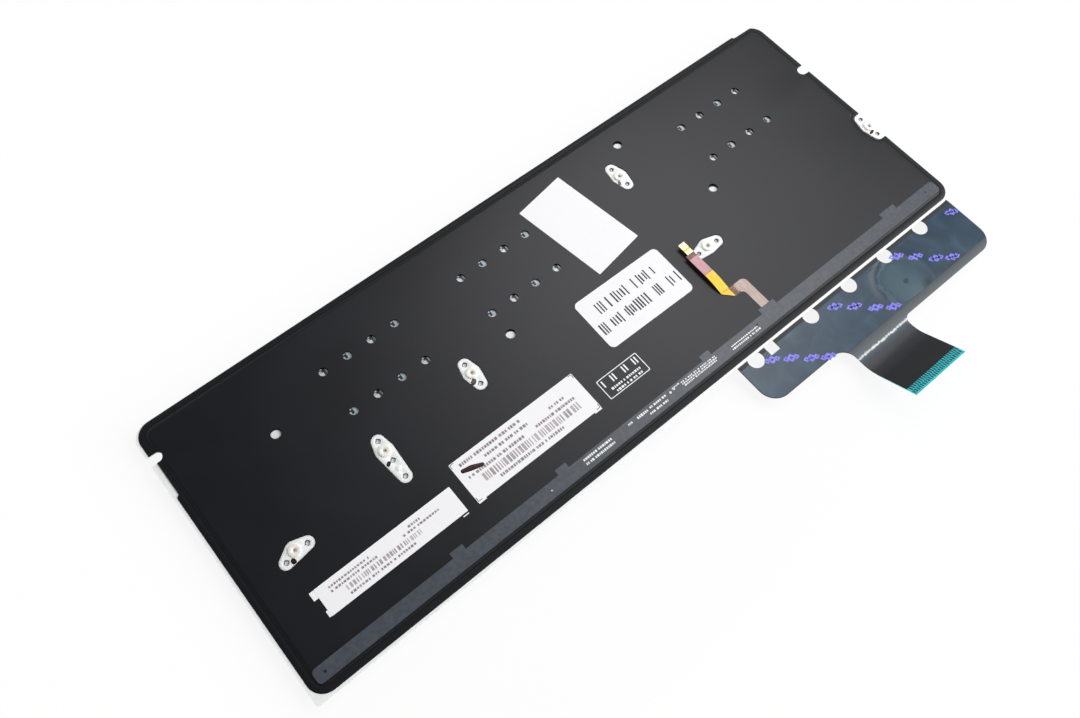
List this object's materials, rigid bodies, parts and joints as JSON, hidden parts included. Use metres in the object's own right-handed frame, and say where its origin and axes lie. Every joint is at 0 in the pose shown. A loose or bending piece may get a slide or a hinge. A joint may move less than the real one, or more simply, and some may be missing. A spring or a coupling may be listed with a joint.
{
  "type": "laptop replacement keyboard",
  "caption": "Thin backlit laptop keyboard module with sprung keys, black back film, screw brackets, membrane flap and tail.",
  "frame": {"origin": "under the middle of the black back film, on the plane of the key faces, which is also the table", "axes": "+X along the long side, away from the narrow label; +Y towards the function keys, away from the tail; +Z out of the back"},
  "size_m": [0.291, 0.1553, 0.0132],
  "materials": {
    "plate": "bright rolled sheet",
    "clear_plastic": "clear, polished",
    "white_film": "matt white film",
    "black_film": "satin black film",
    "strip": "satin film over copper",
    "diode": "moulded",
    "cable": "yellow film over copper",
    "membrane": "printed film",
    "spacer": "translucent film",
    "mask": "matt black print",
    "liner": "glossy film",
    "stiffener": "satin film",
    "silicone": "translucent white",
    "lever": "moulded",
    "wire": "drawn wire",
    "bracket": "bright stamped sheet",
    "boss": "pale plated",
    "rivet": "bright",
    "label": "matt coated paper",
    "keycap": "fine moulded texture"
  },
  "bodies": {
    "chassis": {"base_plate": "plate", "light_guide": "clear_plastic", "reflector_film": "white_film", "back_film": "black_film", "light_strip": "strip", "light_diodes": "diode", "backlight_cable": "cable", "membrane_circuit": "membrane", "membrane_spacer": "spacer", "membrane_mask": "mask", "flap_liner": "liner", "tail_stiffener": "stiffener", "rubber_domes": "silicone", "outer_levers": "lever", "inner_levers": "lever", "stabiliser_wires": "wire", "left_bracket": "bracket", "long_bracket": "bracket", "inner_bracket": "bracket", "upper_bracket": "bracket", "lower_bracket": "bracket", "edge_bracket": "bracket", "threaded_bosses": "boss", "bracket_rivets": "rivet", "plain_label": "label", "rounded_label": "label", "wide_label": "label", "narrow_label": "label", "fixed_keys": "keycap"},
    "key_q": {"key_q": "keycap"},
    "key_w": {"key_w": "keycap"},
    "key_e": {"key_e": "keycap"},
    "key_r": {"key_r": "keycap"},
    "key_t": {"key_t": "keycap"},
    "key_y": {"key_y": "keycap"},
    "key_u": {"key_u": "keycap"},
    "key_i": {"key_i": "keycap"},
    "key_o": {"key_o": "keycap"},
    "key_p": {"key_p": "keycap"},
    "key_a": {"key_a": "keycap"},
    "key_s": {"key_s": "keycap"},
    "key_d": {"key_d": "keycap"},
    "key_f": {"key_f": "keycap"},
    "key_g": {"key_g": "keycap"},
    "key_h": {"key_h": "keycap"},
    "key_j": {"key_j": "keycap"},
    "key_k": {"key_k": "keycap"},
    "key_l": {"key_l": "keycap"},
    "key_z": {"key_z": "keycap"},
    "key_x": {"key_x": "keycap"},
    "key_c": {"key_c": "keycap"},
    "key_v": {"key_v": "keycap"},
    "key_b": {"key_b": "keycap"},
    "key_n": {"key_n": "keycap"},
    "key_m": {"key_m": "keycap"},
    "key_space": {"key_space": "keycap"},
    "key_enter": {"key_enter": "keycap"},
    "key_backspace": {"key_backspace": "keycap"},
    "key_left_shift": {"key_left_shift": "keycap"},
    "key_right_shift": {"key_right_shift": "keycap"}
  },
  "joints": [
    {"name": "press_q", "type": "slide", "parent": "chassis", "child": "key_q", "axis": [0, 0, 1], "range_m": [0, 0.0013], "stiffness_N_per_m": 350, "springref_m": -0.0003, "deforming": ["rubber_domes", "outer_levers", "inner_levers"]},
    {"name": "press_w", "type": "slide", "parent": "chassis", "child": "key_w", "axis": [0, 0, 1], "range_m": [0, 0.0013], "stiffness_N_per_m": 350, "springref_m": -0.0003, "deforming": ["rubber_domes", "outer_levers", "inner_levers"]},
    {"name": "press_e", "type": "slide", "parent": "chassis", "child": "key_e", "axis": [0, 0, 1], "range_m": [0, 0.0013], "stiffness_N_per_m": 350, "springref_m": -0.0003, "deforming": ["rubber_domes", "outer_levers", "inner_levers"]},
    {"name": "press_r", "type": "slide", "parent": "chassis", "child": "key_r", "axis": [0, 0, 1], "range_m": [0, 0.0013], "stiffness_N_per_m": 350, "springref_m": -0.0003, "deforming": ["rubber_domes", "outer_levers", "inner_levers"]},
    {"name": "press_t", "type": "slide", "parent": "chassis", "child": "key_t", "axis": [0, 0, 1], "range_m": [0, 0.0013], "stiffness_N_per_m": 350, "springref_m": -0.0003, "deforming": ["rubber_domes", "outer_levers", "inner_levers"]},
    {"name": "press_y", "type": "slide", "parent": "chassis", "child": "key_y", "axis": [0, 0, 1], "range_m": [0, 0.0013], "stiffness_N_per_m": 350, "springref_m": -0.0003, "deforming": ["rubber_domes", "outer_levers", "inner_levers"]},
    {"name": "press_u", "type": "slide", "parent": "chassis", "child": "key_u", "axis": [0, 0, 1], "range_m": [0, 0.0013], "stiffness_N_per_m": 350, "springref_m": -0.0003, "deforming": ["rubber_domes", "outer_levers", "inner_levers"]},
    {"name": "press_i", "type": "slide", "parent": "chassis", "child": "key_i", "axis": [0, 0, 1], "range_m": [0, 0.0013], "stiffness_N_per_m": 350, "springref_m": -0.0003, "deforming": ["rubber_domes", "outer_levers", "inner_levers"]},
    {"name": "press_o", "type": "slide", "parent": "chassis", "child": "key_o", "axis": [0, 0, 1], "range_m": [0, 0.0013], "stiffness_N_per_m": 350, "springref_m": -0.0003, "deforming": ["rubber_domes", "outer_levers", "inner_levers"]},
    {"name": "press_p", "type": "slide", "parent": "chassis", "child": "key_p", "axis": [0, 0, 1], "range_m": [0, 0.0013], "stiffness_N_per_m": 350, "springref_m": -0.0003, "deforming": ["rubber_domes", "outer_levers", "inner_levers"]},
    {"name": "press_a", "type": "slide", "parent": "chassis", "child": "key_a", "axis": [0, 0, 1], "range_m": [0, 0.0013], "stiffness_N_per_m": 350, "springref_m": -0.0003, "deforming": ["rubber_domes", "outer_levers", "inner_levers"]},
    {"name": "press_s", "type": "slide", "parent": "chassis", "child": "key_s", "axis": [0, 0, 1], "range_m": [0, 0.0013], "stiffness_N_per_m": 350, "springref_m": -0.0003, "deforming": ["rubber_domes", "outer_levers", "inner_levers"]},
    {"name": "press_d", "type": "slide", "parent": "chassis", "child": "key_d", "axis": [0, 0, 1], "range_m": [0, 0.0013], "stiffness_N_per_m": 350, "springref_m": -0.0003, "deforming": ["rubber_domes", "outer_levers", "inner_levers"]},
    {"name": "press_f", "type": "slide", "parent": "chassis", "child": "key_f", "axis": [0, 0, 1], "range_m": [0, 0.0013], "stiffness_N_per_m": 350, "springref_m": -0.0003, "deforming": ["rubber_domes", "outer_levers", "inner_levers"]},
    {"name": "press_g", "type": "slide", "parent": "chassis", "child": "key_g", "axis": [0, 0, 1], "range_m": [0, 0.0013], "stiffness_N_per_m": 350, "springref_m": -0.0003, "deforming": ["rubber_domes", "outer_levers", "inner_levers"]},
    {"name": "press_h", "type": "slide", "parent": "chassis", "child": "key_h", "axis": [0, 0, 1], "range_m": [0, 0.0013], "stiffness_N_per_m": 350, "springref_m": -0.0003, "deforming": ["rubber_domes", "outer_levers", "inner_levers"]},
    {"name": "press_j", "type": "slide", "parent": "chassis", "child": "key_j", "axis": [0, 0, 1], "range_m": [0, 0.0013], "stiffness_N_per_m": 350, "springref_m": -0.0003, "deforming": ["rubber_domes", "outer_levers", "inner_levers"]},
    {"name": "press_k", "type": "slide", "parent": "chassis", "child": "key_k", "axis": [0, 0, 1], "range_m": [0, 0.0013], "stiffness_N_per_m": 350, "springref_m": -0.0003, "deforming": ["rubber_domes", "outer_levers", "inner_levers"]},
    {"name": "press_l", "type": "slide", "parent": "chassis", "child": "key_l", "axis": [0, 0, 1], "range_m": [0, 0.0013], "stiffness_N_per_m": 350, "springref_m": -0.0003, "deforming": ["rubber_domes", "outer_levers", "inner_levers"]},
    {"name": "press_z", "type": "slide", "parent": "chassis", "child": "key_z", "axis": [0, 0, 1], "range_m": [0, 0.0013], "stiffness_N_per_m": 350, "springref_m": -0.0003, "deforming": ["rubber_domes", "outer_levers", "inner_levers"]},
    {"name": "press_x", "type": "slide", "parent": "chassis", "child": "key_x", "axis": [0, 0, 1], "range_m": [0, 0.0013], "stiffness_N_per_m": 350, "springref_m": -0.0003, "deforming": ["rubber_domes", "outer_levers", "inner_levers"]},
    {"name": "press_c", "type": "slide", "parent": "chassis", "child": "key_c", "axis": [0, 0, 1], "range_m": [0, 0.0013], "stiffness_N_per_m": 350, "springref_m": -0.0003, "deforming": ["rubber_domes", "outer_levers", "inner_levers"]},
    {"name": "press_v", "type": "slide", "parent": "chassis", "child": "key_v", "axis": [0, 0, 1], "range_m": [0, 0.0013], "stiffness_N_per_m": 350, "springref_m": -0.0003, "deforming": ["rubber_domes", "outer_levers", "inner_levers"]},
    {"name": "press_b", "type": "slide", "parent": "chassis", "child": "key_b", "axis": [0, 0, 1], "range_m": [0, 0.0013], "stiffness_N_per_m": 350, "springref_m": -0.0003, "deforming": ["rubber_domes", "outer_levers", "inner_levers"]},
    {"name": "press_n", "type": "slide", "parent": "chassis", "child": "key_n", "axis": [0, 0, 1], "range_m": [0, 0.0013], "stiffness_N_per_m": 350, "springref_m": -0.0003, "deforming": ["rubber_domes", "outer_levers", "inner_levers"]},
    {"name": "press_m", "type": "slide", "parent": "chassis", "child": "key_m", "axis": [0, 0, 1], "range_m": [0, 0.0013], "stiffness_N_per_m": 350, "springref_m": -0.0003, "deforming": ["rubber_domes", "outer_levers", "inner_levers"]},
    {"name": "press_space", "type": "slide", "parent": "chassis", "child": "key_space", "axis": [0, 0, 1], "range_m": [0, 0.0013], "stiffness_N_per_m": 350, "springref_m": -0.0003, "deforming": ["rubber_domes", "outer_levers", "inner_levers", "stabiliser_wires"]},
    {"name": "press_enter", "type": "slide", "parent": "chassis", "child": "key_enter", "axis": [0, 0, 1], "range_m": [0, 0.0013], "stiffness_N_per_m": 350, "springref_m": -0.0003, "deforming": ["rubber_domes", "outer_levers", "inner_levers", "stabiliser_wires"]},
    {"name": "press_backspace", "type": "slide", "parent": "chassis", "child": "key_backspace", "axis": [0, 0, 1], "range_m": [0, 0.0013], "stiffness_N_per_m": 350, "springref_m": -0.0003, "deforming": ["rubber_domes", "outer_levers", "inner_levers", "stabiliser_wires"]},
    {"name": "press_left_shift", "type": "slide", "parent": "chassis", "child": "key_left_shift", "axis": [0, 0, 1], "range_m": [0, 0.0013], "stiffness_N_per_m": 350, "springref_m": -0.0003, "deforming": ["rubber_domes", "outer_levers", "inner_levers", "stabiliser_wires"]},
    {"name": "press_right_shift", "type": "slide", "parent": "chassis", "child": "key_right_shift", "axis": [0, 0, 1], "range_m": [0, 0.0013], "stiffness_N_per_m": 350, "springref_m": -0.0003, "deforming": ["rubber_domes", "outer_levers", "inner_levers", "stabiliser_wires"]}
  ]
}
